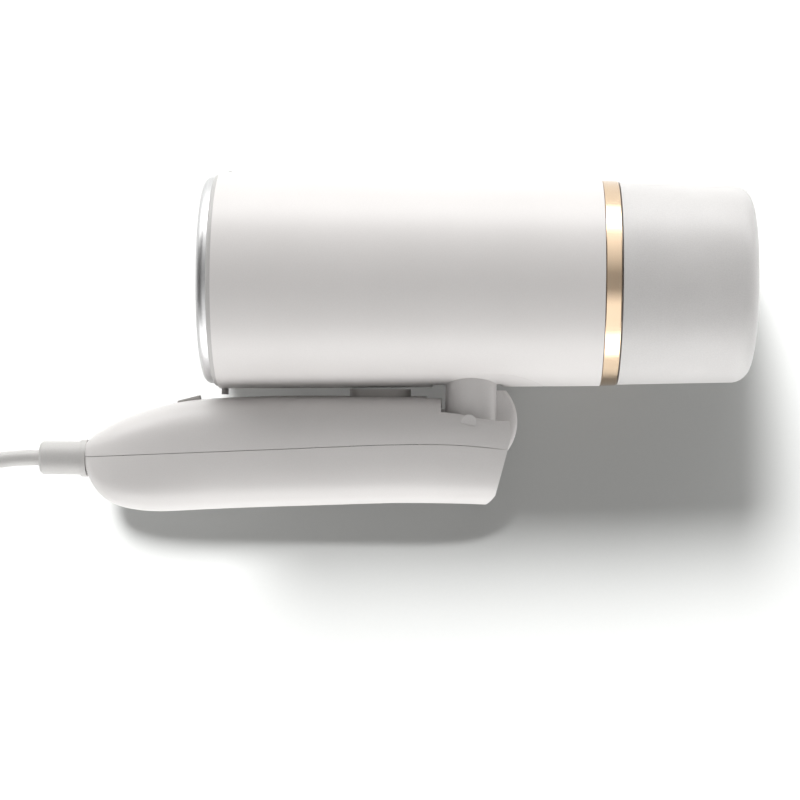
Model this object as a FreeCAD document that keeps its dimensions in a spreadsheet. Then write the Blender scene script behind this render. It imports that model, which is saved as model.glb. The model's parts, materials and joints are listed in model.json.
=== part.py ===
import FreeCAD, Part
import math
import os
import re
import Sketcher
from FreeCAD import Placement, Rotation, Vector

# Foldable handheld garment steamer, lying on its side.
# +X runs along the barrel from the steam plate to the tank, +Z is up, -Y is the handle's side.
# Sizes are written in the barrel's own frame: x from the plate's face, y and z from the barrel's axis.
# SHIFT moves that frame to the part's origin, the middle of its base.

DIMENSIONS = {
    # barrel, along its axis
    "plate_rim": 3.45, "casing_front": 5.0, "casing_back": 130.7, "ring_back": 136.0, "tank_back": 180.0,
    # barrel, radii
    "plate_radius": 34.3, "bezel_radius": 35.3, "front_radius": 36.0, "back_radius": 34.0,
    "ring_radius": 33.8, "tank_front_radius": 33.5, "tank_back_radius": 32.3, "tank_corner": 6.0,
    "wall": 2.2, "tank_wall": 1.9, "spigot_radius": 31.6, "dock_radius": 31.2,
    "vent_radius": 1.1, "rim_round": 2.4, "lens_top": 36.5, "bumper_reach": 37.9,
    # steam head
    "chamber_radius": 29.0, "chamber_back": 19.0, "element_ring": 18.0, "element_radius": 3.0,
    "screw_ring": 26.5, "hose_radius": 2.6, "pump_radius": 10.0, "coil_radius": 15.0,
    # tank
    "skirt_front": 136.4, "lid_front": 143.2, "lid_thickness": 2.5, "filler_height": 18.0,
    "filler_radius": 6.0, "nozzle_radius": 4.0, "socket_radius": 5.3,
    # hinge
    "hinge_x": 87.7, "hinge_drop": 46.2, "drum_radius": 16.0, "drum_flat": 10.4, "drum_half": 6.8,
    "ear_radius": 8.65, "ear_half": 13.7, "pin_radius": 2.5, "hinge_gap": 0.35,
    "saddle_x": 96.3, "saddle_radius": 16.0, "open_angle": 103.0,
    # handle
    "handle_wall": 2.2, "handle_reach": 77.0, "seam_gap": 0.16,
    "trigger_front": 48.2, "trigger_length": 20.2, "trigger_half": 5.0, "trigger_top": 35.7,
    "slider_length": 7.3, "slider_half": 3.0, "slider_tilt": 8.5,
    # lead
    "cord_drop": 59.6, "cord_radius": 2.6, "relief_radius": 5.55, "relief_front": 41.2,
    "relief_back": 54.8, "coil_x": -203.0, "coil_y": -22.0, "turn_radius": 28.5, "turns_across": 3,
    "coil_floor": 0.6, "coil_top": 20.7, "pin_pitch": 19.0, "plug_pin_radius": 2.4, "plug_pin_length": 19.0,
}

doc = FreeCAD.newDocument("GarmentSteamer")
sheet = doc.addObject("Spreadsheet::Sheet", "Sizes")
for row, (alias, number) in enumerate(DIMENSIONS.items(), start=1):
    sheet.set(f"A{row}", alias)
    sheet.set(f"B{row}", str(number))
    sheet.setAlias(f"B{row}", alias)
doc.recompute()

NODES = []


def bound(text):
    """An expression in plain alias names, written as the document's expressions need it."""
    return re.sub(r"[a-z][a-z_]+", lambda word: f"Sizes.{word[0]}" if word[0] in DIMENSIONS else word[0], str(text))


def value(text):
    return float(sheet.evalExpression(bound(text)))


SHIFT = Vector(
    (value("relief_back") - value("tank_back")) / 2,
    (value("handle_reach") - value("lens_top")) / 2,
    value("front_radius"),
)
HINGE = Vector(value("hinge_x"), -value("hinge_drop"), 0)
ALONG, UP, OUT = Vector(1, 0, 0), Vector(0, 1, 0), Vector(0, 0, 1)


def keep(piece, label):
    """Names a finished sub-part and lists it for writing."""
    piece.Label = label
    NODES.append(piece)
    return piece


def place(piece, spot=(0, 0, 0), turn=None):
    piece.Placement = Placement(SHIFT + Vector(*spot), turn or Rotation())
    return piece


def bind(piece, **sizes):
    for name, text in sizes.items():
        piece.setExpression(name, bound(text))
    return piece


# ---------------------------------------------------------------- PartDesign helpers

def new_body(name, spot=(0, 0, 0)):
    return place(doc.addObject("PartDesign::Body", name), spot)


def new_sketch(body, name, role, offset="0"):
    sketch = body.newObject("Sketcher::SketchObject", name)
    plane = [feature for feature in body.Origin.OriginFeatures if feature.Role == role][0]
    sketch.AttachmentSupport = [(plane, "")]
    sketch.MapMode = "FlatFace"
    sketch.AttachmentOffset = Placement(Vector(0, 0, value(offset)), Rotation())
    return sketch


def tie(sketch, geometry, point, spot):
    """Holds one point of a sketch at a place worked out from the sheet."""
    for kind, text in zip(("DistanceX", "DistanceY"), spot):
        rule = sketch.addConstraint(Sketcher.Constraint(kind, -1, 1, geometry, point, value(text)))
        sketch.setExpression(f"Constraints[{rule}]", bound(text))


def outline(sketch, corners):
    """A closed outline of straight edges through corners given as expressions."""
    spots = [Vector(value(across), value(up), 0) for across, up in corners]
    count = len(spots)
    for index, spot in enumerate(spots):
        sketch.addGeometry(Part.LineSegment(spot, spots[(index + 1) % count]), False)
    for index in range(count):
        sketch.addConstraint(Sketcher.Constraint("Coincident", index, 2, (index + 1) % count, 1))
    for index, corner in enumerate(corners):
        tie(sketch, index, 1, corner)


def turned(name, corners, spot=(0, 0, 0)):
    """A body of revolution about its own X axis, from (x, radius) corners."""
    body = new_body(name, spot)
    sketch = new_sketch(body, f"{name}_section", "XY_Plane")
    outline(sketch, corners)
    turn = body.newObject("PartDesign::Revolution", f"{name}_turn")
    turn.Profile = sketch
    turn.ReferenceAxis = (sketch, ["H_Axis"])
    turn.Angle = 360
    doc.recompute()
    return body


def padded(name, corners, role, length, spot=(0, 0, 0)):
    """A body padded evenly to both sides of one of its origin planes."""
    body = new_body(name, spot)
    sketch = new_sketch(body, f"{name}_outline", role)
    outline(sketch, corners)
    pad = body.newObject("PartDesign::Pad", f"{name}_pad")
    pad.Profile = sketch
    pad.Midplane = True
    pad.setExpression("Length", bound(length))
    doc.recompute()
    return body


def ring_of_holes(body, name, middle, pitch, radius, count, length, start=0):
    """Holes along X, evenly round the body's axis."""
    before = body.Shape.Volume
    sketch = new_sketch(body, f"{name}_circle", "YZ_Plane", middle)
    angle = math.radians(start)
    spot = (f"({pitch}) * {math.cos(angle):.6f}", f"({pitch}) * {math.sin(angle):.6f}")
    sketch.addGeometry(Part.Circle(Vector(value(spot[0]), value(spot[1]), 0), OUT, value(radius)), False)
    tie(sketch, 0, 3, spot)
    rule = sketch.addConstraint(Sketcher.Constraint("Radius", 0, value(radius)))
    sketch.setExpression(f"Constraints[{rule}]", bound(radius))
    pocket = body.newObject("PartDesign::Pocket", f"{name}_pocket")
    pocket.Profile = sketch
    pocket.Midplane = True
    pocket.Length = length
    doc.recompute()
    pattern = body.newObject("PartDesign::PolarPattern", f"{name}_ring")
    pattern.Originals = [pocket]
    axis = [feature for feature in body.Origin.OriginFeatures if feature.Role == "X_Axis"][0]
    pattern.Axis = (axis, [""])
    pattern.Angle = 360
    pattern.Occurrences = count
    body.Tip = pattern
    doc.recompute()
    if body.Shape.Volume >= before:
        raise ValueError(f"{name} cut nothing")


def round_edges(body, name, wanted, radius):
    """Fillets the edges that the test picks, by each edge's own middle in the body's frame."""
    doc.recompute()
    base = body.Tip
    picked = [f"Edge{index + 1}" for index, edge in enumerate(base.Shape.Edges) if wanted(edge)]
    fillet = body.newObject("PartDesign::Fillet", name)
    fillet.Base = (base, picked)
    fillet.setExpression("Radius", bound(radius))
    body.Tip = fillet
    doc.recompute()


# ---------------------------------------------------------------- Part helpers

def cylinder(name, radius, length, base, axis=ALONG):
    piece = doc.addObject("Part::Cylinder", name)
    bind(piece, Radius=radius, Height=length)
    return place(piece, base, Rotation(OUT, axis))


def block(name, low, high, turn=None, spot=None):
    """A box between two corners, or about a turned spot of its own."""
    piece = doc.addObject("Part::Box", name)
    size = Vector(*high) - Vector(*low)
    piece.Length, piece.Width, piece.Height = size.x, size.y, size.z
    if turn is None:
        return place(piece, low)
    return place(piece, Vector(*spot) + turn.multVec(Vector(*low)), turn)


def cone(name, front_x, front_radius, back_x, back_radius, turn=None):
    """A cone on the barrel's axis, which turn can swing about the hinge."""
    piece = doc.addObject("Part::Cone", name)
    bind(piece, Radius1=front_radius, Radius2=back_radius, Height=f"({back_x}) - ({front_x})")
    lying = Placement(Vector(value(front_x), 0, 0), Rotation(OUT, ALONG))
    if turn is not None:
        lying = Placement(HINGE, turn) * Placement(-HINGE, Rotation()) * lying
    piece.Placement = Placement(SHIFT, Rotation()) * lying
    return piece


def joined(name, pieces):
    fuse = doc.addObject("Part::MultiFuse", name)
    fuse.Shapes = pieces
    fuse.Refine = True
    return fuse


def shared(name, pieces):
    common = doc.addObject("Part::MultiCommon", name)
    common.Shapes = pieces
    return common


def less(name, base, tools):
    cut = doc.addObject("Part::Cut", name)
    cut.Base = base
    cut.Tool = tools[0] if len(tools) == 1 else joined(f"{name}_tools", tools)
    return cut


def group(name, pieces):
    bundle = doc.addObject("Part::Compound", name)
    bundle.Links = pieces
    return bundle


def solid(name, shape):
    """A sub-part whose shape is made directly, in the barrel's frame."""
    piece = doc.addObject("Part::Feature", name)
    own_place = shape.Placement
    piece.Shape = shape
    piece.Placement = Placement(SHIFT, Rotation()) * own_place
    return piece


def screws(name, spots, axis, length, shank=1.5, head=2.2, head_height=1.6):
    """Identical pan-head screws: each spot is under the head, and axis points at the tip."""
    made = []
    for index, spot in enumerate(spots):
        base = Vector(*spot)
        top = cylinder(f"{name}_head{index}", head, head_height, base - axis * head_height, axis)
        stem = cylinder(f"{name}_stem{index}", shank, length, base, axis)
        made.append(joined(f"{name}_one{index}", [top, stem]))
    return keep(group(name, made), name)


def spring(name, base, axis, length, radius, wire, turns):
    """An open coil spring standing on base. Its wire has twelve sides, which mesh more truly than a thin circle."""
    helix = Part.makeHelix((length - 2 * wire) / turns, length - 2 * wire, radius)
    sides = 12
    corners = [Vector(radius + wire * math.cos(2 * math.pi * side / sides), 0, wire * math.sin(2 * math.pi * side / sides))
               for side in range(sides)]
    section = Part.makePolygon(corners + corners[:1])
    coil = Part.Wire(helix.Edges).makePipeShell([section], True, True)
    coil.translate(Vector(0, 0, wire))
    coil.Placement = Placement(Vector(*base), Rotation(OUT, axis)) * coil.Placement
    return keep(solid(name, coil), name)


def tube_shape(points, radius, name=None):
    """A round tube along straight runs joined by tangent arcs as large as the runs allow, with its sizes printed."""
    spots = [Vector(*point) for point in points]
    edges, start, radii = [], spots[0], []
    for before, corner, after in zip(spots, spots[1:], spots[2:]):
        arriving, leaving = (corner - before), (after - corner)
        setback = 0.45 * min(arriving.Length, leaving.Length)
        arriving.normalize()
        leaving.normalize()
        half_turn = arriving.getAngle(leaving) / 2
        radii.append(setback / math.tan(half_turn))
        entry, leave = corner - arriving * setback, corner + leaving * setback
        inward = (leaving - arriving).normalize()
        middle = corner + inward * (radii[-1] / math.cos(half_turn) - radii[-1])
        edges.append(Part.LineSegment(start, entry).toShape())
        edges.append(Part.Arc(entry, middle, leave).toShape())
        start = leave
    edges.append(Part.LineSegment(start, spots[-1]).toShape())
    path = Part.Wire(edges)
    section = Part.Wire([Part.makeCircle(radius, spots[0], spots[1] - spots[0])])
    shape = path.makePipeShell([section], True, True)
    if name:
        ratio = shape.Volume / (math.pi * radius**2 * path.Length)
        print(f"{name}: {path.Length:.0f} mm, radii", [round(r) for r in radii], f"volume ratio {ratio:.4f}")
    return shape


def tube(name, points, radius, report=False):
    """A round tube as a piece of its own."""
    return keep(solid(name, tube_shape(points, radius, name if report else None)), name)


# ---------------------------------------------------------------- barrel

def barrel_casing():
    """The white tube, with the spigot that carries the gold ring and openings for what stands in its wall."""
    shell = turned("casing_tube", [
        ("casing_front", "front_radius"), ("casing_back", "back_radius"), ("casing_back", "spigot_radius"),
        ("ring_back", "spigot_radius"), ("ring_back", "spigot_radius - wall"),
        ("casing_back - 3", "spigot_radius - wall"), ("casing_back - 3", "back_radius - wall"),
        ("casing_front", "front_radius - wall")])
    saddle_hole = cylinder("saddle_hole", "saddle_radius + 0.1", 20, (value("saddle_x"), -42, 0), UP)
    half_slot = value("drum_half + hinge_gap")
    drum_slot = block("drum_slot", (75.4, -42, -half_slot), (90, -28, half_slot))
    lens_hole = cylinder("lens_hole", 0.75, 8, (7.6, 31, 0), UP)
    bumper_hole = cylinder("bumper_hole", 0.8, 8, (6.55, -38.5, 0), UP)
    keep(less("barrel_casing", shell, [saddle_hole, drum_slot, lens_hole, bumper_hole]), "barrel_casing")


def front_trim():
    """The bezel behind the plate, the ready lamp's lens, the parking bumper and the gold ring."""
    bezel = turned("front_bezel", [
        ("plate_rim", "bezel_radius - 0.2"), ("casing_front", "bezel_radius"),
        ("casing_front", "front_radius - wall - 0.1"), ("casing_front + 4", "front_radius - wall - 0.2"),
        ("casing_front + 4", "plate_radius - 2.4"), ("plate_rim", "plate_radius - 2.4")])
    round_edges(bezel, "bezel_round", lambda edge: rim(edge, "plate_rim", "bezel_radius - 0.2"), "0.6")
    keep(bezel, "front_bezel")
    lens_stem = cylinder("lens_stem", 0.7, 2.2, (7.6, 33.87, 0), UP)
    lens_dome = doc.addObject("Part::Sphere", "lens_dome")
    lens_dome.Radius = 0.9
    place(lens_dome, (7.6, value("lens_top - 0.9"), 0))
    above = block("lens_above", (6, 35.97, -2), (9, 38, 2))
    lens_cap = shared("lens_cap", [lens_dome, above])
    keep(joined("indicator_lens", [lens_stem, lens_cap]), "indicator_lens")
    nub = cylinder("bumper_nub", 1.15, "bumper_reach - front_radius", (6.55, -value("bumper_reach"), 0), UP)
    stem = cylinder("bumper_stem", 0.75, 2.4, (6.55, -36.3, 0), UP)
    keep(joined("rest_bumper", [nub, stem]), "rest_bumper")
    ring = turned("gold_ring", [
        ("casing_back + 0.1", "spigot_radius + 0.05"), ("casing_back + 0.1", "back_radius - 0.02"),
        ("ring_back", "ring_radius"), ("ring_back", "spigot_radius + 0.05")])
    round_edges(ring, "ring_round", lambda edge: outer(edge, "ring_radius - 0.5"), "0.35")
    keep(ring, "gold_ring")


def rim(edge, across, radius):
    """True for the circle at one place along the axis with one radius."""
    curve = edge.Curve
    near = abs(edge.CenterOfMass.x - value(across)) < 0.01
    return near and hasattr(curve, "Radius") and abs(curve.Radius - value(radius)) < 0.01


def outer(edge, radius):
    curve = edge.Curve
    return hasattr(curve, "Radius") and curve.Radius > value(radius)


def steam_plate():
    """Polished sole plate with two rings of steam vents and blind holes for its screws."""
    plate = turned("steam_plate", [
        ("0", "0"), ("0", "plate_radius"), ("plate_rim", "plate_radius"), ("plate_rim", "plate_radius - 2.6"),
        ("6", "plate_radius - 2.6"), ("6", "0")])
    round_edges(plate, "plate_round", lambda edge: rim(edge, "0", "plate_radius"), "rim_round")
    ring_of_holes(plate, "inner_vents", "3", "10", "vent_radius", 6, 10)
    ring_of_holes(plate, "outer_vents", "3", "19", "vent_radius", 12, 10, 15)
    ring_of_holes(plate, "plate_taps", "5", "screw_ring", "1.55", 4, 3, 45)
    keep(plate, "steam_plate")


def steam_head():
    """Gasket, cast chamber, element, cover, thermostat, fuse and the screws that pull them together."""
    gasket = turned("plate_gasket", [
        ("6", "24"), ("6", "chamber_radius"), ("7", "chamber_radius"), ("7", "24")])
    ring_of_holes(gasket, "gasket_holes", "6.5", "screw_ring", "1.7", 4, 3, 45)
    keep(gasket, "plate_gasket")
    groove_in, groove_out = "element_ring - element_radius - 0.1", "element_ring + element_radius + 0.1"
    chamber = turned("steam_chamber", [
        ("7", "24"), ("7", "chamber_radius"), ("chamber_back", "chamber_radius"), ("chamber_back", groove_out),
        ("14.6", groove_out), ("14.6", groove_in), ("chamber_back", groove_in), ("chamber_back", "hose_radius"),
        ("27", "hose_radius"), ("27", "1.4"), ("11", "1.4"), ("11", "24")])
    ring_of_holes(chamber, "chamber_holes", "13", "screw_ring", "1.6", 4, 16, 45)
    keep(chamber, "steam_chamber")
    loop = doc.addObject("Part::Torus", "element_loop")
    bind(loop, Radius1="element_ring", Radius2="element_radius")
    loop.Angle3 = 300
    place(loop, (17.6, 0, 0), Rotation(OUT, ALONG).multiply(Rotation(OUT, 30)))
    ends = [ray * value("element_ring") for ray in end_rays(loop)]
    pins = [cylinder(f"element_pin{i}", 1.6, 14, (17.6, end.y, end.z)) for i, end in enumerate(ends)]
    keep(joined("heating_element", [loop] + pins), "heating_element")
    disc = turned("cover_disc", [("20.7", "8"), ("20.7", "24"), ("21.8", "24"), ("21.8", "8")])
    holes = [cylinder(f"cover_hole{i}", 2.4, 4, (19.5, end.y, end.z)) for i, end in enumerate(ends)]
    keep(less("chamber_cover", disc, holes), "chamber_cover")
    can = cylinder("thermostat_can", 6.5, 5.5, (21.8, 14.5, 0))
    cap = cylinder("thermostat_cap", 5.0, 2.5, (27.3, 14.5, 0))
    tabs = [block(f"thermostat_tab{i}", (29.8, 14.1, z - 1.6), (33, 14.9, z + 1.6)) for i, z in enumerate((-2.6, 2.6))]
    keep(joined("thermostat", [can, cap] + tabs), "thermostat")
    keep(cylinder("thermal_fuse", 2.2, 14, (24.0, -12.5, -7), OUT), "thermal_fuse")
    turn = [math.radians(45 + 90 * i) for i in range(4)]
    spots = [(19.0, value("screw_ring") * math.cos(a), value("screw_ring") * math.sin(a)) for a in turn]
    screws("plate_screws", spots, -ALONG, 15)


def end_rays(loop):
    """The two directions, across the barrel, in which the element's loop ends."""
    turn = Rotation(OUT, ALONG).multiply(Rotation(OUT, 30))
    span = math.radians(float(loop.Angle3))
    return [turn.multVec(Vector(math.cos(a), math.sin(a), 0)) for a in (0.0, span)]


RAIL_Y = 19
RAIL_Z = (-15, 15)


def carriers():
    """The shield round the hot head and the frame that runs from it to the tank dock."""
    shield = turned("heat_shield", [
        ("9.4", "30.2"), ("9.4", "31.2"), ("34", "31.2"), ("34", "25"), ("33.2", "25"), ("33.2", "30.2")])
    keep(shield, "heat_shield")
    disc = turned("frame_disc", [("34", "10"), ("34", "32.9"), ("37", "32.9"), ("37", "10")])
    ring = turned("frame_ring", [("112", "20"), ("112", "31.4"), ("115", "31.4"), ("115", "20")])
    rails = [block(f"frame_rail{i}", (36, 17, z - 2), (125, 21, z + 2)) for i, z in enumerate(RAIL_Z)]
    foot = block("frame_foot", (86, -25.9, -9), (113, -17.5, 9))
    notch = block("frame_notch", (33, -26, -14), (38, -12, 14))
    saddle_room = block("saddle_room", (76, -36, -22), (116, -25.95, 22))
    taps = [cylinder(f"frame_tap{i}", 1.3, 12, (113.5, RAIL_Y, z)) for i, z in enumerate(RAIL_Z)]
    frame = joined("frame_blank", [disc, ring, foot] + rails)
    keep(less("inner_frame", frame, [notch, saddle_room] + taps), "inner_frame")


def pump():
    """The small vibration pump: body, winding, plunger and spring, and its two hoses."""
    body = turned("pump_body", [
        ("60", "1.3"), ("60", "hose_radius"), ("68", "hose_radius"), ("68", "pump_radius - 2"),
        ("74", "pump_radius - 2"), ("74", "pump_radius"), ("75", "pump_radius"), ("75", "6.5"), ("98", "6.5"),
        ("98", "pump_radius"), ("103", "pump_radius"), ("103", "3.2"), ("110", "3.2"), ("110", "1.6"),
        ("99", "1.6"), ("99", "4.6"), ("72", "4.6"), ("72", "1.3")])
    keep(body, "pump_body")
    keep(turned("pump_coil", [
        ("75.1", "6.6"), ("75.1", "coil_radius"), ("97.9", "coil_radius"), ("97.9", "6.6")]), "pump_coil")
    keep(turned("pump_plunger", [
        ("74", "0"), ("74", "1.8"), ("79", "1.8"), ("79", "4.2"), ("93", "4.2"), ("93", "0")]), "pump_plunger")
    spring("pump_spring", (93.1, 0, 0), ALONG, 5.8, 3.5, 0.4, 4)
    keep(turned("inlet_hose", [("105", "3.2"), ("105", "4.6"), ("122", "4.6"), ("122", "3.2")]), "inlet_hose")
    keep(turned("outlet_hose", [
        ("22", "hose_radius"), ("22", "4.1"), ("65", "4.1"), ("65", "hose_radius")]), "outlet_hose")


def tank_dock():
    """The bulkhead at the casing's end: it clamps the gold ring, and the tank plugs on to it."""
    dock = turned("dock_blank", [
        ("117", "2.2"), ("117", "3.2"), ("125", "3.2"), ("125", "31.4"), ("127.6", "31.4"),
        ("127.6", "spigot_radius - wall - 0.1"), ("ring_back + 0.1", "spigot_radius - wall - 0.1"),
        ("ring_back + 0.1", "dock_radius"), ("142.2", "dock_radius"), ("142.2", "dock_radius - 3.8"),
        ("129.8", "dock_radius - 3.8"), ("129.8", "nozzle_radius"), ("147.5", "nozzle_radius"), ("147.5", "2.2")])
    holes = [cylinder(f"dock_hole{i}", 1.3, 8, (123.5, RAIL_Y, z)) for i, z in enumerate(RAIL_Z)]
    keep(less("tank_dock", dock, holes), "tank_dock")
    seal = doc.addObject("Part::Torus", "dock_seal")
    bind(seal, Radius1="nozzle_radius + 0.45", Radius2="0.45")
    place(seal, (145.0, 0, 0), Rotation(OUT, ALONG))
    keep(seal, "dock_seal")
    screws("frame_screws", [(129.8, RAIL_Y, z) for z in RAIL_Z], -ALONG, 14, 1.2, 2.4)


def barrel_wires():
    """Two leads from the hinge to the element's ends."""
    for index, side in enumerate((-1, 1)):
        end = value("element_ring") * math.sin(math.radians(30))
        yield tube_shape([
            (31.8, -15.588, side * end), (40, -15.9, side * end), (58, -18.5, side * 8), (74, -22.5, side * 6),
            (83.5, -25.2, side * 5)], 0.9)


# ---------------------------------------------------------------- tank

def tank():
    """The pull-off water tank, its lid with the valve's chamber, and what hangs in the water."""
    shell = turned("tank_shell", [
        ("skirt_front", "dock_radius + 0.4"), ("skirt_front", "tank_front_radius"),
        ("tank_back", "tank_back_radius"), ("tank_back", "0"), ("tank_back - tank_wall", "0"),
        ("tank_back - tank_wall", "tank_back_radius - tank_wall"), ("skirt_front + 12", "dock_radius + 0.4")])
    round_edges(shell, "tank_outer_round", lambda edge: rim(edge, "tank_back", "tank_back_radius"), "tank_corner")
    round_edges(shell, "tank_inner_round", lambda edge: rim(
        edge, "tank_back - tank_wall", "tank_back_radius - tank_wall"), "tank_corner - tank_wall")
    keep(shell, "tank_shell")
    lid = turned("lid_blank", [
        ("lid_front", "socket_radius"), ("lid_front", "dock_radius + 0.3"),
        ("lid_front + lid_thickness", "dock_radius + 0.3"), ("lid_front + lid_thickness", "8.5"),
        ("158", "8.5"), ("158", "3"), ("163", "3"), ("163", "1.6"), ("156", "1.6"), ("156", "6.5"),
        ("148.2", "6.5"), ("148.2", "socket_radius")])
    hole = cylinder("filler_hole", "filler_radius", 6, (141, value("filler_height"), 0))
    keep(less("tank_lid", lid, [hole]), "tank_lid")
    keep(turned("tank_seal", [
        ("lid_front + lid_thickness", "28.4"), ("lid_front + lid_thickness", "dock_radius + 0.2"),
        ("147", "dock_radius + 0.1"), ("147", "28.4")]), "tank_seal")
    keep(turned("filler_plug", [
        ("141.3", "0"), ("141.3", "filler_radius + 1.4"), ("142.85", "filler_radius + 1.4"),
        ("142.85", "filler_radius - 0.4"), ("147", "filler_radius - 0.8"), ("147", "0")],
        (0, value("filler_height"), 0)), "filler_plug")
    keep(turned("tank_valve", [
        ("148.6", "0"), ("148.6", "6.1"), ("150.3", "6.1"), ("150.3", "1.2"), ("155.2", "1.2"), ("155.2", "0")]),
        "tank_valve")
    spring("valve_spring", (150.4, 0, 0), ALONG, 5.5, 4.3, 0.4, 4)
    tube("suction_tube", [(163, 0, 0), (171, 0, 0), (171, -17, 0)], 1.9)
    keep(cylinder("suction_weight", 4.5, 10, (171, -27, 0), UP), "suction_weight")


# ---------------------------------------------------------------- hinge

def hinge_saddle():
    """Round insert flush with the casing, with the neck and two ears that hang from it round the drum."""
    front, back = "casing_front", "casing_back"
    outside = cone("saddle_outside", front, "front_radius", back, "back_radius")
    inside = cone("saddle_inside", front, "front_radius - wall - 0.05", back, "back_radius - wall - 0.05")
    plug = cylinder("saddle_plug", "saddle_radius", 16, (value("saddle_x"), -42, 0), UP)
    flange = cylinder("saddle_flange", "saddle_radius + 3", 8, (value("saddle_x"), -34, 0), UP)
    flush = shared("saddle_flush", [plug, outside])
    lip = shared("saddle_lip", [flange, inside])
    neck_left, neck_right = value("hinge_x - 8"), value("hinge_x + 9.3")
    half_width = (neck_right - neck_left) / 2
    middle = (neck_left + neck_right) / 2
    reach = value("ear_half") - half_width
    column = joined("neck_column", [
        block("neck_block", (neck_left, -60, -reach), (neck_right, -31, reach)),
        cylinder("neck_end0", half_width, 29, (middle, -60, -reach), UP),
        cylinder("neck_end1", half_width, 29, (middle, -60, reach), UP)])
    ear_round = cylinder("ear_round", "ear_radius", 40, (HINGE.x, HINGE.y, -20), OUT)
    ear_block = block("ear_block", (neck_left, HINGE.y, -20), (neck_right, -28, 20))
    ears = shared("saddle_ears", [column, joined("ear_outline", [ear_round, ear_block])])
    neck = less("saddle_neck", ears, [cone("neck_trim", front, "front_radius", back, "back_radius")])
    whole = joined("saddle_whole", [flush, lip, neck])
    gap = value("drum_half + hinge_gap")
    recess = cylinder("drum_recess", "drum_radius + hinge_gap + 0.1", 2 * gap, (HINGE.x, HINGE.y, -gap), OUT)
    bore = cylinder("saddle_bore", "pin_radius + 0.05", 40, (HINGE.x, HINGE.y, -20), OUT)
    keep(less("hinge_saddle", whole, [recess, bore]), "hinge_saddle")


def hinge_drum():
    """The handle's knuckle: a round drum with a flat top, on a leg that is screwed inside the handle."""
    half = value("drum_half")
    disc = cylinder("drum_disc", "drum_radius", 2 * half, (HINGE.x, HINGE.y, -half), OUT)
    above = block("drum_above", (60, -value("hinge_drop - drum_flat"), -20), (110, -20, 20))
    left = block("drum_left", (60, -42, -20), (80, -20, 20))
    drum = less("drum_trimmed", disc, [above, left])
    rounded = doc.addObject("Part::Fillet", "drum_rounded")
    rounded.Base = drum
    doc.recompute()
    round_back = [i + 1 for i, edge in enumerate(drum.Shape.Edges) if drum_rim(edge)]
    rounded.Edges = [(index, 2.0, 2.0) for index in round_back]
    leg = block("drum_leg", (71.6, -60, -half), (84, -50, half))
    foot = block("drum_foot", (71.6, -62, -13), (78.2, -56, 13))
    bore = cylinder("drum_bore", "pin_radius + 0.02", 40, (HINGE.x, HINGE.y, -20), OUT)
    taps = [cylinder(f"drum_tap{i}", 1.3, 12, (DRUM_POST_X, -64, z), UP) for i, z in enumerate(DRUM_POST_Z)]
    keep(less("hinge_drum", joined("drum_blank", [rounded, leg, foot]), [bore] + taps), "hinge_drum")
    screws("drum_screws", [(DRUM_POST_X, -62, z) for z in DRUM_POST_Z], UP, 15, 1.2, 2.2)
    keep(cylinder("hinge_pin", "pin_radius", 31.2, (HINGE.x, HINGE.y, -15.6), OUT), "hinge_pin")


def drum_rim(edge):
    """True for the drum's big half-circles on its two flat sides."""
    curve = edge.Curve
    return hasattr(curve, "Radius") and abs(curve.Radius - value("drum_radius")) < 0.01


# ---------------------------------------------------------------- handle

# The handle's side outline: x, depth of its front and back faces below the barrel's axis, half its width.
HANDLE_STATIONS = [
    (-39.2, 54.2, 63.6, 5.8), (-38.2, 53.2, 66.3, 7.2), (-36.4, 51.6, 69.4, 9.0), (-33.4, 49.8, 72.6, 10.9),
    (-29.4, 47.4, 74.9, 12.8), (-24, 45.0, 76.3, 14.5), (-16, 42.4, 77.0, 15.9), (-8, 40.5, 76.7, 16.6),
    (4, 39.2, 76.0, 17.0), (20, 38.4, 75.2, 17.0), (44, 38.0, 74.2, 17.0), (66, 37.95, 73.4, 17.0),
    (84, 38.7, 73.4, 17.0), (104, 40.2, 74.6, 17.0)]
SEAM = [(-44, 59.3), (-19, 57.9), (35, 55.2), (65, 53.8), (88, 54.0), (100, 55.1), (108, 56.0)]
SECTION_POINTS = 32
SQUARENESS = 2.7


def power(number, exponent):
    return math.copysign(abs(number) ** exponent, number)


def section(across, front, back, half):
    """A rounded section of the handle: a superellipse across its depth and width."""
    middle, depth = -(front + back) / 2, (back - front) / 2
    points = []
    for step in range(SECTION_POINTS):
        angle = 2 * math.pi * step / SECTION_POINTS
        rise = middle + depth * power(math.sin(angle), 2 / SQUARENESS)
        points.append(Vector(across, rise, half * power(math.cos(angle), 2 / SQUARENESS)))
    curve = Part.BSplineCurve()
    curve.interpolate(points, PeriodicFlag=True)
    return Part.Wire([curve.toShape()])


def handle_form(inset):
    """The handle's outside, or with an inset the cavity inside it."""
    wires = []
    for across, front, back, half in HANDLE_STATIONS:
        if inset and across < HANDLE_STATIONS[0][0] + inset - 1:
            continue
        wires.append(section(across, front + inset, back - inset, half - inset))
    return Part.makeLoft(wires, True, False)


def slab(edges, half):
    """A flat outline of edges, thickened evenly to both sides of the middle plane."""
    face = Part.Face(Part.Wire(edges))
    face.translate(Vector(0, 0, -half))
    return face.extrude(Vector(0, 0, 2 * half))


def loop_of(points):
    spots = [Vector(across, up, 0) for across, up in points]
    return [Part.makeLine(one, other) for one, other in zip(spots, spots[1:] + spots[:1])]


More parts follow.
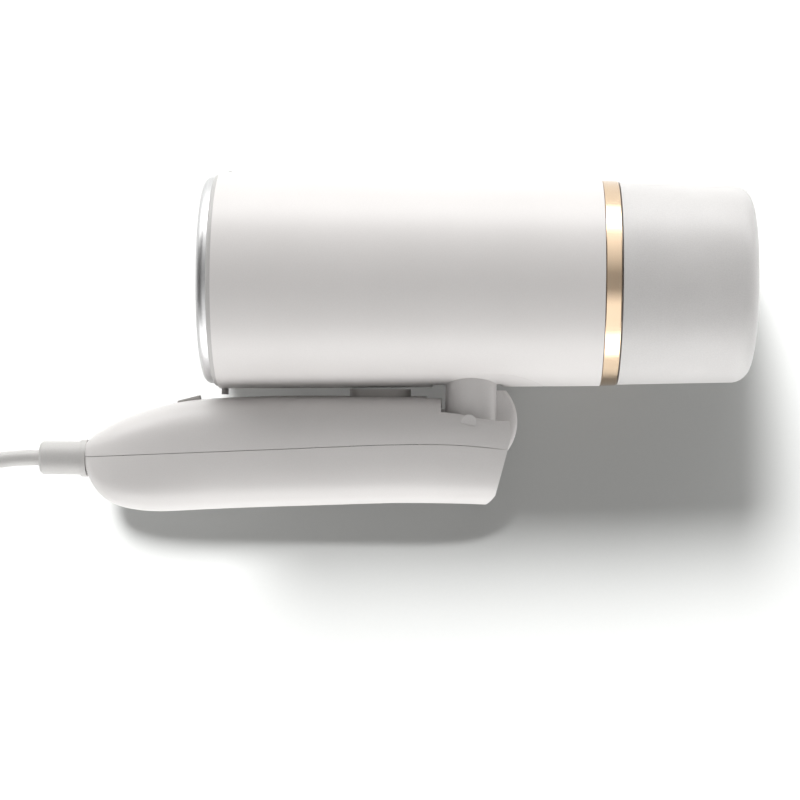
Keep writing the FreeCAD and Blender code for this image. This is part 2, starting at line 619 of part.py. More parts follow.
def seam_side(front, gap):
    """Everything on the front or back side of the seam between the two half-shells."""
    curve = Part.BSplineCurve()
    curve.interpolate([Vector(across, -depth + gap, 0) for across, depth in SEAM])
    start, end = curve.StartPoint, curve.EndPoint
    far = 0 if front else -120
    return slab([
        curve.toShape(), Part.makeLine(end, Vector(end.x, far, 0)),
        Part.makeLine(Vector(end.x, far, 0), Vector(start.x, far, 0)),
        Part.makeLine(Vector(start.x, far, 0), start)], 40)


def end_cut(shift):
    """Everything past the handle's hinge end: a gently curved cheek, then the back shell's sloping face."""
    cheek = Part.Arc(
        Vector(99.6 + shift, -40.0, 0), Vector(101.1 + shift, -48.0, 0), Vector(100.1 + shift, -56.4, 0)).toShape()
    line = [Vector(100.1 + shift, -56.4, 0), Vector(95.4 + shift, -74.6, 0), Vector(94.5 + shift, -90, 0),
            Vector(140, -90, 0), Vector(140, -20, 0), Vector(95.6 + shift, -20, 0), Vector(95.6 + shift, -36, 0),
            Vector(99.6 + shift, -40.0, 0)]
    return slab([cheek] + [Part.makeLine(one, other) for one, other in zip(line, line[1:])], 40)


def neck_sweep():
    """The room that the neck needs between the cheeks, from folded to open."""
    reach = value("ear_radius") + 0.45
    final = math.radians(90 - value("open_angle") - 0.5)
    along = Vector(math.cos(final), math.sin(final), 0)
    square = Vector(along.y, -along.x, 0)
    left = HINGE + Vector(-reach, 0, 0)
    low = HINGE + square * reach
    middle = HINGE + (Vector(-1, 0, 0) + square).normalize() * reach
    far = low + along * 40
    edges = [Part.makeLine(Vector(left.x, -20, 0), left), Part.Arc(left, middle, low).toShape(),
             Part.makeLine(low, far), Part.makeLine(far, Vector(far.x, -20, 0)),
             Part.makeLine(Vector(far.x, -20, 0), Vector(left.x, -20, 0))]
    return slab(edges, value("ear_half") + 0.3)


def barrel_swept(extra):
    """The barrel's outside, grown by extra, where it stands against the handle when fully open."""
    length = value("casing_back - casing_front")
    form = Part.makeCone(value("front_radius") + extra, value("back_radius") + extra, length,
                         Vector(value("casing_front"), 0, 0), ALONG)
    form.rotate(HINGE, OUT, -value("open_angle"))
    return form


def drum_room():
    gap = value("drum_half") + 0.15
    return Part.makeCylinder(value("drum_radius") + 0.2, 2 * gap, HINGE - OUT * gap, OUT)


def handle_window(low, high):
    return Part.makeBox(*(Vector(*high) - Vector(*low)), Vector(*low))


def slider_frame(shape):
    """Moves a piece of the slider from its own level frame on to the sloping face of the handle."""
    shape = shape.copy()
    shape.Placement = Placement(SLIDER_SPOT, Rotation(OUT, value("slider_tilt")))
    return shape


SLIDER_SPOT = Vector(-5.35, -39.75, 0)
SLIDER_TRAVEL = 3.0
HANDLE_SCREW_X = (10, 36)
DRUM_POST_X = 75.0
DRUM_POST_Z = (-10.3, 10.3)


def handle_shells():
    """The two half-shells, hollow, with every opening that a moving piece needs."""
    wall = value("handle_wall")
    form = handle_form(0).cut(end_cut(0)).cut(barrel_swept(0.45))
    cavity = handle_form(wall).cut(end_cut(-wall)).cut(barrel_swept(0.45 + wall))
    bosses = [Part.makeCylinder(6.5, 2.0, HINGE + OUT * z, OUT) for z in (14.0, -16.0)]
    pin_holes = Part.makeCylinder(value("pin_radius") + 0.02, 31.4, HINGE - OUT * 15.7, OUT)
    shell = form.cut(cavity.cut(Part.makeCompound(bosses)))
    relief_hole = Part.makeCylinder(4.7, 8, Vector(-43, -value("cord_drop"), 0), ALONG)
    shell = shell.cut(neck_sweep()).cut(drum_room()).cut(relief_hole).cut(pin_holes)
    trigger_low = (value("trigger_front") - 0.4, -44, -value("trigger_half") - 0.4)
    trigger_high = (value("trigger_front + trigger_length") + 0.4, -30, value("trigger_half") + 0.4)
    half = value("slider_half") + 0.35
    window = slider_frame(handle_window((-4.0, -4.0, -half), (4.0 + SLIDER_TRAVEL, 4.0, half)))
    front = shell.common(seam_side(True, value("seam_gap") / 2))
    front = front.cut(handle_window(trigger_low, trigger_high)).cut(window)
    back = shell.common(seam_side(False, -value("seam_gap") / 2))
    posts, bores = [], []
    for across in HANDLE_SCREW_X:
        posts.append(Part.makeCylinder(3.4, 18.8, Vector(across, -76.0, 0), UP).common(form))
        bores.append(Part.makeCylinder(1.35, 30.0, Vector(across, -80, 0), UP))
        bores.append(Part.makeCylinder(2.6, 9.0, Vector(across, -80, 0), UP))
    back = back.fuse(posts).cut(Part.makeCompound(bores))
    front_posts = [Part.makeCylinder(3.4, 16.5, Vector(across, -56.9, 0), UP) for across in HANDLE_SCREW_X]
    front_posts += [Part.makeCylinder(2.6, 17.5, Vector(DRUM_POST_X, -56, z), UP) for z in DRUM_POST_Z]
    taps = [Part.makeCylinder(1.25, 12.0, Vector(across, -58, 0), UP) for across in HANDLE_SCREW_X]
    taps += [Part.makeCylinder(1.25, 11.5, Vector(DRUM_POST_X, -58, z), UP) for z in DRUM_POST_Z]
    front = front.fuse([post.common(form) for post in front_posts]).cut(Part.makeCompound(taps))
    keep(solid("handle_front_shell", biggest(front)), "handle_front_shell")
    keep(solid("handle_back_shell", biggest(back)), "handle_back_shell")
    screws("handle_screws", [(across, -71.0, 0) for across in HANDLE_SCREW_X], UP, 22, 1.2, 2.3)


def biggest(shape):
    """The main solid of a boolean's result, without loose crumbs."""
    return max(shape.Solids, key=lambda one: one.Volume)


def controls():
    """The steam trigger and the power slider, with the switches and spring under them."""
    front, length, half, top = (value(name) for name in (
        "trigger_front", "trigger_length", "trigger_half", "trigger_top"))
    button = block("trigger_button", (front, -41.5, -half), (front + length, -top, half))
    ends = doc.addObject("Part::Fillet", "trigger_rounded")
    ends.Base = button
    doc.recompute()
    upright = [i + 1 for i, edge in enumerate(button.Shape.Edges) if abs(edge.tangentAt(0).y) > 0.9]
    ends.Edges = [(index, 4.2, 4.2) for index in upright]
    lip = block("trigger_lip", (front - 2, -42.6, -half - 2), (front + length + 2, -41.2, half + 2))
    stem = block("trigger_stem", (54, -44.2, -1.5), (57, -42.5, 1.5))
    keep(joined("steam_trigger", [ends, lip, stem]), "steam_trigger")
    body = block("switch_body", (48, -57, -3.2), (62, -47.5, 3.2))
    ledge = block("switch_ledge", (61, -57, -4.5), (71, -51, 4.5))
    key = cylinder("switch_key", 1.2, 1.4, (55.5, -47.6, 0), UP)
    keep(joined("trigger_switch", [body, ledge, key]), "trigger_switch")
    spring("trigger_spring", (66, -50.9, 0), UP, 8.2, 2.6, 0.35, 5)
    thumb = Part.makeBox(value("slider_length"), 5.6, 2 * value("slider_half"),
                         Vector(-value("slider_length") / 2, -4.6, -value("slider_half")))
    ramp = slab(loop_of([(-6, 0.1), (-3.65, 0.1), (3.65, 0.85), (6, 0.85), (6, 3), (-6, 3)]), 6)
    thumb = thumb.cut(ramp)
    keel = Part.makeBox(14.4, 1.2, 9.6, Vector(-7.9, -5.3, -4.8))
    finger = Part.makeBox(3, 3, 3, Vector(-1.5, -8.0, -1.5))
    keep(solid("power_slider", slider_frame(thumb.fuse([keel, finger]))), "power_slider")
    keep(block("switch_block", (-22.5, -57.0, -6), (-3, -49.0, 6)), "switch_block")


def cord_end():
    """The strain relief, the clamp behind it and the leads to the switches."""
    relief = turned("strain_relief", [
        ("-relief_back", "0"), ("-relief_back", "relief_radius - 0.7"), ("0.7 - relief_back", "relief_radius"),
        ("-relief_front", "relief_radius"), ("-relief_front", "relief_radius + 0.65"),
        ("-39.25", "relief_radius + 0.65"), ("-39.25", "4.6"), ("-36.2", "4.6"), ("-36.2", "5.2"),
        ("-35", "5.2"), ("-35", "0")], (0, -value("cord_drop"), 0))
    keep(relief, "strain_relief")
    depth = value("cord_drop")
    clamp = block("clamp_block", (-32, -depth - 3.4, -7.6), (-26.5, -depth + 3.6, 7.6))
    holes = [cylinder("clamp_bore", 2.65, 10, (-34, -depth, 0))]
    holes += [cylinder(f"clamp_hole{i}", 1.3, 14, (-29.2, -depth - 8, z), UP) for i, z in enumerate((-5.2, 5.2))]
    keep(less("cord_clamp", clamp, holes), "cord_clamp")
    screws("clamp_screws", [(-29.2, -depth + 3.6, z) for z in (-5.2, 5.2)], -UP, 10, 1.2, 2.0, 1.3)
    tube("inner_lead", [(-35, -depth, 0), (-25, -depth, 0), (-21, -depth - 2.5, 0), (-17, -depth - 3.2, 0)], 2.2)
    wires = [tube_shape([
        (-16.9, -depth - 3.2, side * 1.2), (-4, -63.4, side * 3.6), (10, -64.2, side * 5.8),
        (36, -63.6, side * 5.4), (47, -61.0, side * 3.0), (54, -58.0, side * 2.2)], 0.9) for side in (-1, 1)]
    keep(solid("lead_wires", Part.makeCompound(wires)), "lead_wires")
    keep(solid("barrel_wires", Part.makeCompound(list(barrel_wires()))), "barrel_wires")


# ---------------------------------------------------------------- lead

# The lead's route from the strain relief down to the coil, then from the coil to the plug, in the part's frame.
CORD_ROUTE = [
    (-117.4, -39.35, 36.0), (-128, -39.35, 36.0), (-142, -43.0, 33.0), (-156, -48.0, 25.2), (-170, -52.2, 14.4),
    (-184, -55.0, 5.8), (-199, -55.9, 3.2)]
TAIL_ROUTE = [(-236.6, -24, 18.3), (-237.0, -14, 17.5), (-236.5, -4, 13.0), (-235.9, 8.5, 8.3), (-235.8, 18, 7.8)]


def lead():
    """The free lead, its put-away coil with a tie, and the plug lying beside the coil."""
    to_barrel = [[Vector(*point) - SHIFT for point in route] for route in (CORD_ROUTE, TAIL_ROUTE)]
    tube("mains_cord", to_barrel[0], value("cord_radius"), report=True)
    tube("cord_tail", to_barrel[1], value("cord_radius"), report=True)
    across = 2 * value("cord_radius")
    half_band = across * value("turns_across") / 2 + 0.3
    band_floor, band_top = value("coil_floor"), value("coil_top")
    middle = Vector(value("coil_x"), value("coil_y"), 0) - SHIFT
    ring = Part.makeCylinder(value("turn_radius") + half_band, band_top - band_floor,
                            middle + OUT * band_floor, OUT)
    ring = ring.cut(Part.makeCylinder(value("turn_radius") - half_band, 40, middle, OUT))
    ring = ring.makeFillet(2.4, ring.Edges)
    keep(solid("cord_coil", ring), "cord_coil")
    strap = Part.makeBox(2 * half_band + 1.8, 5.0, band_top + 0.7)
    strap = strap.cut(Part.makeBox(2 * half_band + 0.4, 5.0, band_top - 0.5, Vector(0.7, 0, 0.55)))
    strap = strap.makeFillet(0.9, [edge for edge in strap.Edges if long_corner(edge, half_band)])
    strap.translate(middle + Vector(value("turn_radius") - half_band - 1.0, -2.5, 0))
    keep(solid("cord_tie", strap), "cord_tie")
    plug()


def long_corner(edge, half_band):
    """True for the strap's four outer corners, which run across it."""
    spot = edge.CenterOfMass
    outside = spot.x < 0.1 or spot.x > 2 * half_band + 1.7
    return outside and abs(edge.tangentAt(0).y) > 0.9


def plug():
    """A flat two-pin plug on its broad side, with a tapering tail where the lead enters."""
    tail = Vector(*TAIL_ROUTE[-1]) - SHIFT
    widths = [(0.0, 4.0, 4.0), (12, 5.2, 5.0), (20, 9.0, 6.6), (32, 16.5, 7.4), (46, 17.5, 7.4), (50, 17.5, 7.4)]
    wires = []
    for along, half_width, half_height in widths:
        points = []
        for step in range(24):
            angle = 2 * math.pi * step / 24
            side = half_width * power(math.cos(angle), 0.75)
            points.append(tail + Vector(side, along, half_height * power(math.sin(angle), 0.75)))
        curve = Part.BSplineCurve()
        curve.interpolate(points, PeriodicFlag=True)
        wires.append(Part.Wire([curve.toShape()]))
    keep(solid("plug_body", Part.makeLoft(wires, True, False)), "plug_body")
    pins = []
    for side in (-1, 1):
        foot = tail + Vector(side * value("pin_pitch") / 2, widths[-1][0], 0)
        pin = Part.makeCylinder(value("plug_pin_radius"), value("plug_pin_length"), foot, UP)
        tip = [edge for edge in pin.Edges if abs(edge.CenterOfMass.y - foot.y - value("plug_pin_length")) < 0.01]
        pins.append(pin.makeFillet(1.6, tip))
    keep(solid("plug_pins", Part.makeCompound(pins)), "plug_pins")


barrel_casing()
front_trim()
steam_plate()
steam_head()
carriers()
pump()
tank_dock()
tank()
hinge_saddle()
hinge_drum()
handle_shells()
controls()
cord_end()
lead()
doc.recompute()

for piece in doc.Objects:
    if {"Invalid", "Error"} & set(piece.State):
        raise ValueError(f"{piece.Name} failed: {piece.State}")
for piece in NODES:
    if piece.Shape.isNull() or not piece.Shape.isValid():
        raise ValueError(f"{piece.Label} has no valid shape")

os.makedirs("parts", exist_ok=True)
for piece in NODES:
    piece.Shape.exportStep(f"parts/{piece.Label}.step")
    box = piece.Shape.BoundBox
    print(f"{piece.Label:20s} {len(piece.Shape.Solids)} solids  x {box.XMin:7.1f} {box.XMax:7.1f}"
          f"  y {box.YMin:6.1f} {box.YMax:6.1f}  z {box.ZMin:5.1f} {box.ZMax:5.1f}")
print(len(NODES), "nodes")
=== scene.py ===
"""A folding garment steamer: materials, the mains lead, a pale floor, soft studio light and the camera."""

import json
import math

import bpy
from mathutils import Matrix, Vector


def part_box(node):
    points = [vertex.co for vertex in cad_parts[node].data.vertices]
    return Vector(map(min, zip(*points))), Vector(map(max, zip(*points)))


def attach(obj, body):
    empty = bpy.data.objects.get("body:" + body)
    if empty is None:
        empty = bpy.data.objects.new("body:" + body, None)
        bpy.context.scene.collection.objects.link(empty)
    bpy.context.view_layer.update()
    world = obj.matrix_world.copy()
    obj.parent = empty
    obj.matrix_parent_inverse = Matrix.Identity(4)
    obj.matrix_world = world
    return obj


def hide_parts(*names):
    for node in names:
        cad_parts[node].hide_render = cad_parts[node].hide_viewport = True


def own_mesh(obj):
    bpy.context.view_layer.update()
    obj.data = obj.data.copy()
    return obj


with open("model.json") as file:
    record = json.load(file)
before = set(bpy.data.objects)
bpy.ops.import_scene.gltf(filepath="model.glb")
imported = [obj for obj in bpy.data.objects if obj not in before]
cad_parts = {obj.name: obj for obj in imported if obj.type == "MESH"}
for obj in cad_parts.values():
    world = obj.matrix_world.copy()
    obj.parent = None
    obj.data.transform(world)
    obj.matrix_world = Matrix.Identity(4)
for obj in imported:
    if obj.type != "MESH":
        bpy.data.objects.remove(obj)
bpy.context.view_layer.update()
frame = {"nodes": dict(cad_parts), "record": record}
MM = 0.001


# ---------------------------------------------------------------- camera

CAMERA_PLACE, CAMERA_AIM = Vector((0.0244, -0.0188, 0.794)), Vector((0.0022, -0.0190, 0.036))
CAMERA_LEAN = math.radians(0.54)      # how far the picture's top leans from +Y
FOCAL_LENGTH, SENSOR_WIDTH = 102.7, 36.0


def make_camera():
    """Looks nearly straight down on the steamer, which lies on its side, from a little towards the tank."""
    data = bpy.data.cameras.new("studio_camera")
    data.lens, data.sensor_width = FOCAL_LENGTH, SENSOR_WIDTH
    data.clip_start, data.clip_end = 0.01, 50.0
    camera = bpy.data.objects.new("studio_camera", data)
    bpy.context.scene.collection.objects.link(camera)
    back = (CAMERA_PLACE - CAMERA_AIM).normalized()
    right = Vector((-math.sin(CAMERA_LEAN), math.cos(CAMERA_LEAN), 0.0)).cross(back).normalized()
    top = back.cross(right)
    camera.matrix_world = Matrix.Translation(CAMERA_PLACE) @ Matrix((right, top, back)).transposed().to_4x4()
    bpy.context.scene.camera = camera


make_camera()

# ---------------------------------------------------------------- mains lead

CORD_DIAMETER = 5.2 * MM
# Route and coil are in millimetres.
EXIT = (-117.4, -39.35, 36.0)
LEAD_POINTS = [EXIT, (-128, -39.35, 36.0), (-142, -43.0, 33.0), (-156, -48.0, 25.2), (-170, -52.2, 14.4),
               (-184, -55.0, 5.4)]
TAIL_POINTS = [(-237.9, -14, 17.6), (-236.9, -4, 13.0), (-236.0, 8.5, 8.3), (-235.8, 18.5, 7.8)]
COIL_MIDDLE = (-203.0, -22.0)
COIL_OUTER = 34.0                 # the outermost turn's radius
PITCH = 5.26                      # from one turn to the next, and from one layer to the next
LOWEST_TURN = 2.75                # the lowest layer's height
LAYER_ENDS = (2.5, 5.0, 7.5)      # the turn counts at which the winding climbs to its next layer
TURNS = 10.25
STEPS = 16                        # control points for each turn
CLIMB = 0.2                       # the part of a turn before and after a layer's end that climbs


def smooth(x):
    x = min(max(x, 0.0), 1.0)
    return x * x * (3 - 2 * x)


def coil_point(turn):
    """A point of the wound lead after that many turns, wound inwards on one layer and outwards on the next."""
    depth, inwards, last = 0.0, 1, 0.0
    for end in LAYER_ENDS + (TURNS,):
        depth += inwards * (min(turn, end) - last) if turn > last else 0.0
        inwards, last = -inwards, end
    height = LOWEST_TURN + PITCH * sum(smooth((turn - end + CLIMB) / (2 * CLIMB)) for end in LAYER_ENDS)
    radius = (COIL_OUTER - PITCH * depth) / math.cos(math.pi / STEPS)
    angle = -math.pi / 2 - 2 * math.pi * turn
    return (COIL_MIDDLE[0] + radius * math.cos(angle), COIL_MIDDLE[1] + radius * math.sin(angle), height)


def make_lead():
    """One spline from the strain relief through the put-away coil to the plug."""
    points = LEAD_POINTS + [coil_point(step / STEPS) for step in range(int(TURNS * STEPS) + 1)] + TAIL_POINTS
    curve = bpy.data.curves.new("mains_lead", "CURVE")
    curve.dimensions = "3D"
    curve.bevel_depth = 1.0
    curve.bevel_resolution = 6
    curve.resolution_u = 6
    curve.use_fill_caps = True
    spline = curve.splines.new("NURBS")
    spline.points.add(len(points) - 1)
    for point, spot in zip(spline.points, points):
        point.co = (spot[0] * MM, spot[1] * MM, spot[2] * MM, 1.0)
        point.radius = CORD_DIAMETER / 2
    spline.order_u = 3
    spline.use_endpoint_u = True
    lead = bpy.data.objects.new("mains_lead", curve)
    bpy.context.scene.collection.objects.link(lead)
    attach(lead, "handle")
    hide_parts("mains_cord", "cord_tail", "cord_coil")
    return lead


lead = make_lead()


# ---------------------------------------------------------------- materials

def node(tree, kind, **settings):
    made = tree.nodes.new(kind)
    for key, setting in settings.items():
        setattr(made, key, setting)
    return made


def maths(tree, operation, *values):
    """A Math node's result. Each value is another node's output or a plain number."""
    made = node(tree, "ShaderNodeMath", operation=operation)
    for socket, given in zip(made.inputs, values):
        if isinstance(given, bpy.types.NodeSocket):
            tree.links.new(given, socket)
        else:
            socket.default_value = given
    return made.outputs[0]


def ranged(tree, source, low, high, start=0.3, stop=0.7, **settings):
    """A number that runs from low to high as its source, such as a noise, runs from start to stop."""
    step = node(tree, "ShaderNodeMapRange", clamp=True, **settings)
    for socket, number in zip(("From Min", "From Max", "To Min", "To Max"), (start, stop, low, high)):
        step.inputs[socket].default_value = number
    tree.links.new(source, step.inputs["Value"])
    return step.outputs["Result"]


def noise(tree, coordinates, scale, detail=3.0, stretch=None):
    if stretch:
        mapping = node(tree, "ShaderNodeMapping")
        mapping.inputs["Scale"].default_value = stretch
        tree.links.new(coordinates, mapping.inputs["Vector"])
        coordinates = mapping.outputs["Vector"]
    made = node(tree, "ShaderNodeTexNoise")
    made.inputs["Scale"].default_value = scale
    made.inputs["Detail"].default_value = detail
    tree.links.new(coordinates, made.inputs["Vector"])
    return made.outputs["Fac"]


def material(name, dark, light, rough, grain=1500.0, bump=0.02, cloud=35.0, stretch=None, **shader):
    """A finish with slow and fine variation of colour and roughness, and a fine bump in its surface.

    dark and light are the colour's two ends and rough the roughness's. grain and cloud are the scales of the fine
    and the slow noise per metre, bump is the surface's height in millimetres, and stretch is the fine noise's scale
    along each axis. shader sets more of the shader's sockets.
    """
    made = bpy.data.materials.new(name)
    made.use_nodes = True
    tree = made.node_tree
    principled = tree.nodes["Principled BSDF"]
    spot = node(tree, "ShaderNodeTexCoord").outputs["Object"]
    slow, fine = noise(tree, spot, cloud), noise(tree, spot, grain, 4.0, stretch)
    mean = maths(tree, "MULTIPLY_ADD", fine, 0.5, maths(tree, "MULTIPLY", slow, 0.5))
    ramp = node(tree, "ShaderNodeValToRGB")
    for end, position, colour in zip(ramp.color_ramp.elements, (0.35, 0.65), (dark, light)):
        end.position, end.color = position, (*colour, 1.0)
    tree.links.new(mean, ramp.inputs["Fac"])
    tree.links.new(ramp.outputs["Color"], principled.inputs["Base Color"])
    tree.links.new(ranged(tree, fine, *rough), principled.inputs["Roughness"])
    bumped = node(tree, "ShaderNodeBump")
    bumped.inputs["Strength"].default_value = 0.5
    bumped.inputs["Distance"].default_value = bump * MM
    tree.links.new(fine, bumped.inputs["Height"])
    tree.links.new(bumped.outputs["Normal"], principled.inputs["Normal"])
    for socket, setting in shader.items():
        principled.inputs[socket.replace("_", " ")].default_value = setting
    return made


FINISHES = {
    "white_plastic": material("white_plastic", (0.70, 0.68, 0.672), (0.735, 0.715, 0.707), (0.34, 0.44), 2600, 0.006,
                              Coat_Weight=0.08, Coat_Roughness=0.3),
    "trim_grey": material("trim_grey", (0.50, 0.49, 0.485), (0.54, 0.53, 0.525), (0.36, 0.46), 2600, 0.008),
    "lens": material("lens", (0.80, 0.80, 0.77), (0.86, 0.86, 0.83), (0.06, 0.12), 900, 0.002,
                     Transmission_Weight=0.5, IOR=1.49),
    "soft_grey": material("soft_grey", (0.44, 0.43, 0.42), (0.50, 0.49, 0.48), (0.55, 0.7), 3000, 0.02),
    "gold": material("gold", (0.72, 0.545, 0.385), (0.78, 0.60, 0.43), (0.13, 0.2), 1200, 0.0015,
                     stretch=(0.15, 1, 1), Metallic=1.0),
    "polished_aluminium": material("polished_aluminium", (0.62, 0.62, 0.625), (0.70, 0.70, 0.705), (0.36, 0.44), 1500,
                                   0.003, Metallic=1.0),
    "silicone": material("silicone", (0.62, 0.59, 0.53), (0.70, 0.67, 0.61), (0.4, 0.55), 1800, 0.01,
                         Subsurface_Weight=0.2, Subsurface_Scale=0.001),
    "cast_aluminium": material("cast_aluminium", (0.33, 0.33, 0.34), (0.44, 0.44, 0.45), (0.45, 0.62), 900, 0.06,
                               Metallic=1.0),
    "steel": material("steel", (0.45, 0.45, 0.47), (0.56, 0.56, 0.58), (0.22, 0.36), 1600, 0.006,
                      stretch=(1, 1, 0.1), Metallic=1.0),
    "bakelite": material("bakelite", (0.010, 0.009, 0.009), (0.022, 0.02, 0.02), (0.4, 0.55), 2000, 0.015),
    "inner_plastic": material("inner_plastic", (0.44, 0.42, 0.37), (0.50, 0.48, 0.43), (0.45, 0.6), 1700, 0.015),
    "copper": material("copper", (0.50, 0.16, 0.05), (0.66, 0.24, 0.08), (0.22, 0.34), 2400, 0.05,
                       stretch=(1, 0.05, 0.05), Metallic=1.0),
    "frosted_tank": material("frosted_tank", (0.66, 0.647, 0.642), (0.75, 0.737, 0.732), (0.32, 0.44), 3000, 0.03,
                             Transmission_Weight=0.12, IOR=1.46, Coat_Weight=0.05, Coat_Roughness=0.4),
    "tank_grey": material("tank_grey", (0.42, 0.41, 0.405), (0.48, 0.47, 0.465), (0.35, 0.48), 2600, 0.01,
                          Transmission_Weight=0.1),
    "button_grey": material("button_grey", (0.50, 0.48, 0.465), (0.56, 0.54, 0.52), (0.35, 0.45), 2800, 0.01),
    "wire": material("wire", (0.42, 0.45, 0.5), (0.5, 0.53, 0.58), (0.4, 0.5), 1500, 0.01),
    "cord_grey": material("cord_grey", (0.55, 0.54, 0.53), (0.61, 0.60, 0.59), (0.42, 0.55), 2200, 0.02),
    "tie_black": material("tie_black", (0.02, 0.02, 0.022), (0.05, 0.05, 0.055), (0.6, 0.8), 2500, 0.08,
                          stretch=(1, 0.3, 1)),
    "pin_metal": material("pin_metal", (0.62, 0.61, 0.58), (0.72, 0.71, 0.68), (0.12, 0.22), 1400, 0.003,
                          Metallic=1.0),
}

for part in frame["record"]["subparts"]:
    piece = frame["nodes"][part["node"]]
    # The pin's bare end shows beside the neck, so it has the colour of the neck.
    finish = "white_plastic" if part["node"] == "hinge_pin" else part["material_slot"]
    for slot in piece.material_slots:
        slot.material = FINISHES[finish]
lead.data.materials.append(FINISHES["cord_grey"])


# ---------------------------------------------------------------- springs

BARREL_AXIS = (-62.6, 20.25, 36.0)      # the middle of the steam plate's face
# name, body, joint, foot from BARREL_AXIS, direction, length, radius, wire's radius, turns, travel, and the end that
# stays, 0 for the foot and 1 for the other, all in millimetres
SPRINGS = (
    ("pump_spring", "barrel", "pump_stroke", (93.1, 0.0, 0.0), (1, 0, 0), 5.8, 3.5, 0.38, 4, 1.5, 1.0),
    ("valve_spring", "tank", "valve_lift", (150.4, 0.0, 0.0), (1, 0, 0), 5.5, 4.3, 0.38, 4, 1.2, 1.0),
    ("trigger_spring", "handle", "trigger_press", (66.0, -50.9, 0.0), (0, 1, 0), 8.2, 2.6, 0.33, 5, 1.5, 0.0))
SPRING_STEPS = 28       # rings of the mesh for each turn
WIRE_SIDES = 10


def make_spring(name, body, joint, foot, direction, length, radius, wire, turns, travel, held):
    """A compression spring with its end turns closed, which moves with its body and keeps its length."""
    along = Vector(direction)
    side = along.cross(Vector((0, 0, 1))).normalized()
    other = along.cross(side)
    start = (Vector(BARREL_AXIS) + Vector(foot)) * MM
    count = turns * SPRING_STEPS
    line = []
    for step in range(count + 1):
        turn = 2 * math.pi * step / SPRING_STEPS
        share = step / count
        rise = wire + (length - 2 * wire) * (0.5 * share + 0.5 * smooth(share))
        line.append(start + (side * math.cos(turn) * radius + other * math.sin(turn) * radius + along * rise) * MM)
    points, faces = [], []
    for step, spot in enumerate(line):
        ahead = (line[min(step + 1, count)] - line[max(step - 1, 0)]).normalized()
        out = (spot - start - along * (spot - start).dot(along)).normalized()
        up = ahead.cross(out).normalized()
        for corner in range(WIRE_SIDES):
            angle = 2 * math.pi * corner / WIRE_SIDES
            points.append(spot + (out * math.cos(angle) + up * math.sin(angle)) * wire * MM)
    for step in range(count):
        for corner in range(WIRE_SIDES):
            beside = (corner + 1) % WIRE_SIDES
            faces.append((step * WIRE_SIDES + corner, step * WIRE_SIDES + beside,
                          (step + 1) * WIRE_SIDES + beside, (step + 1) * WIRE_SIDES + corner))
    faces.append(tuple(range(WIRE_SIDES))[::-1])
    faces.append(tuple(count * WIRE_SIDES + corner for corner in range(WIRE_SIDES)))
    mesh = bpy.data.meshes.new(name + "_wire")
    mesh.from_pydata(points, [], faces)
    for face in mesh.polygons:
        face.use_smooth = len(face.vertices) == 4
    mesh.materials.append(FINISHES["steel"])
    spring = bpy.data.objects.new(name + "_wire", mesh)
    bpy.context.scene.collection.objects.link(spring)
    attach(spring, body)
    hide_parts(name)
    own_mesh(spring)


for spring in SPRINGS:
    make_spring(*spring)

# ---------------------------------------------------------------- floor and light

FLOOR_REACH = 3.0
FLAG_HEIGHT = 13 * MM
FLAG_CORNERS = 48
FLAG_SQUARENESS = (0.35, 0.55)      # along the handle and across it; 1 would be an ellipse
KEY_FROM = (-0.3, 1.22, 1.0)        # the direction that the floor's key light comes from
KEY_ENERGY, KEY_ANGLE = 9.2, math.radians(20)


def make_floor():
    """A pale paper sweep, lit by a light of its own."""
    far = FLOOR_REACH
    mesh = bpy.data.meshes.new("paper_floor")
    mesh.from_pydata([(-far, -far, 0), (far, -far, 0), (far, far, 0), (-far, far, 0)], [], [(0, 1, 2, 3)])
    made = bpy.data.objects.new("paper_floor", mesh)
    bpy.context.scene.collection.objects.link(made)
    mesh.materials.append(material("paper", (0.44, 0.445, 0.44), (0.45, 0.455, 0.45), (0.85, 0.95), 900, 0.002,
                                   cloud=4.0, Specular_IOR_Level=0.1))
    return made


def make_flag():
    """A flag below the handle, seen by no camera, that gives the handle a shadow close under it."""
    low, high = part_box("handle_back_shell")[0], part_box("handle_front_shell")[1]
    middle, reach = (low + high) / 2, (high - low) / 2
    outline = []
    for step in range(FLAG_CORNERS):
        turn = 2 * math.pi * step / FLAG_CORNERS
        side, rise = math.cos(turn), math.sin(turn)
        outline.append((middle.x + reach.x * math.copysign(abs(side) ** FLAG_SQUARENESS[0], side),
                        middle.y + reach.y * math.copysign(abs(rise) ** FLAG_SQUARENESS[1], rise), FLAG_HEIGHT))
    mesh = bpy.data.meshes.new("shadow_flag")
    mesh.from_pydata(outline, [], [tuple(range(FLAG_CORNERS))])
    made = bpy.data.objects.new("shadow_flag", mesh)
    bpy.context.scene.collection.objects.link(made)
    for rays in ("camera", "diffuse", "glossy", "transmission", "volume_scatter"):
        setattr(made, "visible_" + rays, False)
    return made


def make_floor_light(paper, flag):
    """A broad key light for the floor alone. Only barrel, tank and the handle's flag cast its shadow."""
    data = bpy.data.lights.new("floor_key", "SUN")
    data.energy, data.angle = KEY_ENERGY, KEY_ANGLE
    key = bpy.data.objects.new("floor_key", data)
    bpy.context.scene.collection.objects.link(key)
    key.rotation_euler = Vector(KEY_FROM).to_track_quat("Z", "Y").to_euler()
    lit = bpy.data.collections.new("lit_by_floor_key")
    lit.objects.link(paper)
    key.light_linking.receiver_collection = lit
    shading = bpy.data.collections.new("shade_the_floor")
    bodies = frame["record"]["behaviour"]["bodies"]
    for part in bodies["barrel"] + bodies["tank"]:
        if part != "hinge_saddle":
            shading.objects.link(frame["nodes"][part])
    shading.objects.link(flag)
    key.light_linking.blocker_collection = shading


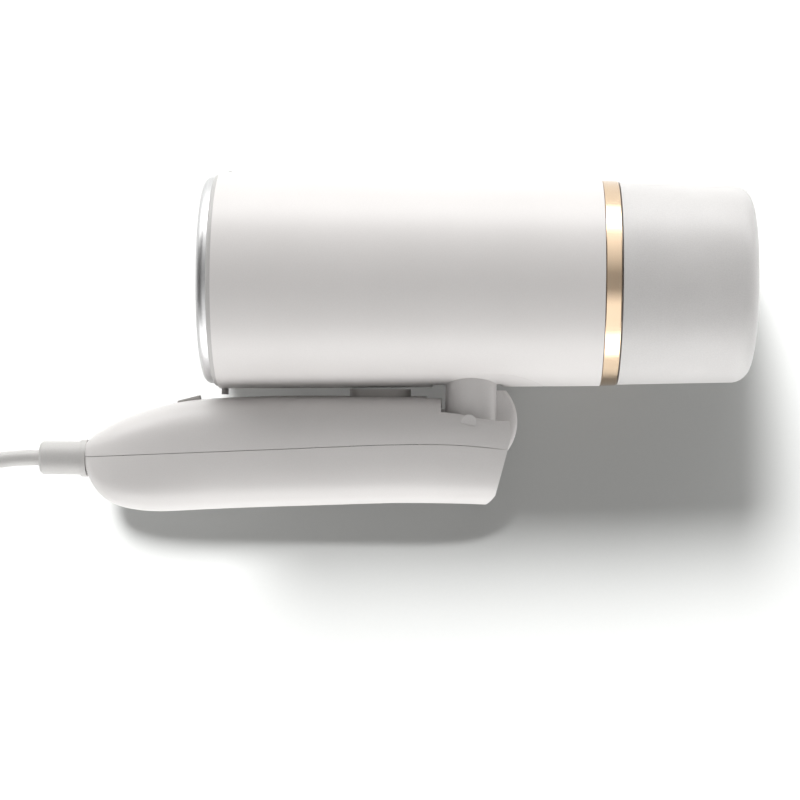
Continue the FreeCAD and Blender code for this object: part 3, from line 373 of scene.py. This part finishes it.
# The sky's brightness at angles from overhead, in degrees: -90 is the horizon in front of the handle, +90 the one
# behind the barrel. The long boxes are low and wide, and the short ones over them leave a dark slot overhead.
LONG_BOXES = ((-96, 0.0), (-88, 3.3), (-66, 3.3), (-58, 0.0), (58, 0.0), (68, 4.6), (95, 4.6))
SHORT_BOXES = ((-67, 0.0), (-59, 1.5), (-26, 1.5), (-9, 0.4), (9, 0.4), (22, 0.8), (42, 1.3), (58, 1.7), (67, 0.0))
LONG_REACH, SHORT_REACH = (0.7, 0.95), (0.12, 0.34)     # sines of the angle from straight across the object
CEILING = 0.06


def brightness(tree, angle, steps):
    """The sum of ramps that makes a line through the steps' angles and levels, from a first level of 0."""
    total = 0.0
    for (start, low), (stop, high) in zip(steps, steps[1:]):
        total = maths(tree, "ADD", total,
                      ranged(tree, angle, 0.0, high - low, math.radians(start), math.radians(stop)))
    return total


def boxes(tree, angle, along, steps, reach):
    """Softboxes that are full up to the first number in reach, to both sides of the object, and end at the second."""
    ends = ranged(tree, along, 1.0, 0.0, *reach, interpolation_type="SMOOTHSTEP")
    return maths(tree, "MULTIPLY", brightness(tree, angle, steps), ends)


def make_sky():
    """Softboxes on both sides of the object under a dim ceiling, which the camera sees as plain white."""
    world = bpy.data.worlds.new("studio")
    world.use_nodes = True
    bpy.context.scene.world = world
    tree = world.node_tree
    background = tree.nodes["Background"]
    direction = node(tree, "ShaderNodeSeparateXYZ")
    tree.links.new(node(tree, "ShaderNodeTexCoord").outputs["Generated"], direction.inputs[0])
    angle = maths(tree, "ARCTAN2", direction.outputs["Y"], direction.outputs["Z"])
    along = maths(tree, "ABSOLUTE", direction.outputs["X"])
    light = maths(tree, "ADD", boxes(tree, angle, along, LONG_BOXES, LONG_REACH),
                  boxes(tree, angle, along, SHORT_BOXES, SHORT_REACH))
    shown = node(tree, "ShaderNodeMix", data_type="FLOAT")
    tree.links.new(node(tree, "ShaderNodeLightPath").outputs["Is Camera Ray"], shown.inputs["Factor"])
    tree.links.new(maths(tree, "ADD", light, CEILING), shown.inputs["A"])
    shown.inputs["B"].default_value = 1.0
    tree.links.new(shown.outputs["Result"], background.inputs["Strength"])
    background.inputs["Color"].default_value = (1.0, 0.995, 0.985, 1.0)


floor = make_floor()
make_floor_light(floor, make_flag())
make_sky()
bpy.context.scene.view_settings.view_transform = "Standard"

bpy.context.view_layer.update()
